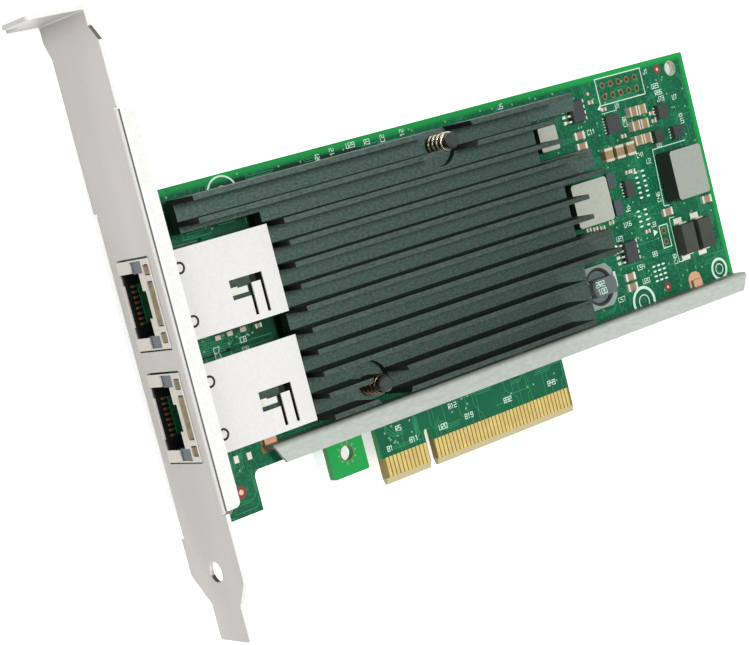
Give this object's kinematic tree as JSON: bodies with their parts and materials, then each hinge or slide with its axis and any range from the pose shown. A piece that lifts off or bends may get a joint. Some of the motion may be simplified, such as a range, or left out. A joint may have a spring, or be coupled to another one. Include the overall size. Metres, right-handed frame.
{
  "type": "network interface card",
  "caption": "Network interface card with a steel bracket, network sockets in steel shells, a finned heatsink on sprung pins, an edge connector and a folded stiffener rail.",
  "frame": {"origin": "on the bracket's outer face, level with the end of the edge connector and with the board's component face", "axes": "+X along the card away from the bracket, +Y from the edge connector towards the screw tab, +Z out of the component side"},
  "size_m": [0.1664, 0.12, 0.02],
  "materials": {
    "board_laminate": "green solder mask over glass laminate",
    "bracket_steel": "satin plated steel",
    "nickel": "bright plated",
    "tin": "tinned",
    "ceramic_tan": "fired ceramic",
    "black_package": "moulded epoxy",
    "gold": "gold plated",
    "anodised_aluminium": "extruded and milled, fine lengthwise lines",
    "bronze": "spring bronze",
    "black_moulding": "moulded housing",
    "lamp_window": "clear moulded window",
    "jack_shell_steel": "tinned steel sheet",
    "grey_core": "pressed powder",
    "capacitor_case": "moulded case",
    "spring_wire": "wound wire",
    "pin_brass": "plain brass",
    "ceramic_dark": "coated ceramic",
    "pale_plastic": "moulded clip",
    "dark_core": "ferrite",
    "light_core": "pressed powder",
    "plain_aluminium": "satin sheet",
    "copper": "bare copper",
    "thermal_pad": "soft grey pad"
  },
  "bodies": {
    "root": {"board": "board_laminate", "bracket": "bracket_steel", "bracket_screws": "nickel", "bracket_standoffs": "nickel", "ceramic_capacitor_ends": "tin", "ceramic_capacitors": "ceramic_tan", "controller_chip": "black_package", "edge_contacts_back": "gold", "edge_contacts_front": "gold", "heatsink": "anodised_aluminium", "inductor_terminals": "tin", "jack_contacts_1": "gold", "jack_contacts_2": "gold", "jack_earth_spring_1": "bronze", "jack_earth_spring_2": "bronze", "jack_housing_1": "black_moulding", "jack_housing_2": "black_moulding", "jack_light_windows_1": "lamp_window", "jack_light_windows_2": "lamp_window", "jack_shell_1": "jack_shell_steel", "jack_shell_2": "jack_shell_steel", "large_inductor": "grey_core", "phy_chip": "black_package", "polymer_capacitor_ends": "tin", "polymer_capacitors": "capacitor_case", "power_transistor_leads": "tin", "power_transistors": "black_package", "push_pin_springs": "spring_wire", "push_pins": "pin_brass", "resistor_ends": "tin", "resistors": "ceramic_dark", "round_inductor_clip": "pale_plastic", "round_inductor_core": "dark_core", "small_chips": "black_package", "square_inductors": "light_core", "stiffener": "plain_aluminium", "stiffener_pads": "copper", "thermal_pads": "thermal_pad"}
  },
  "joints": []
}
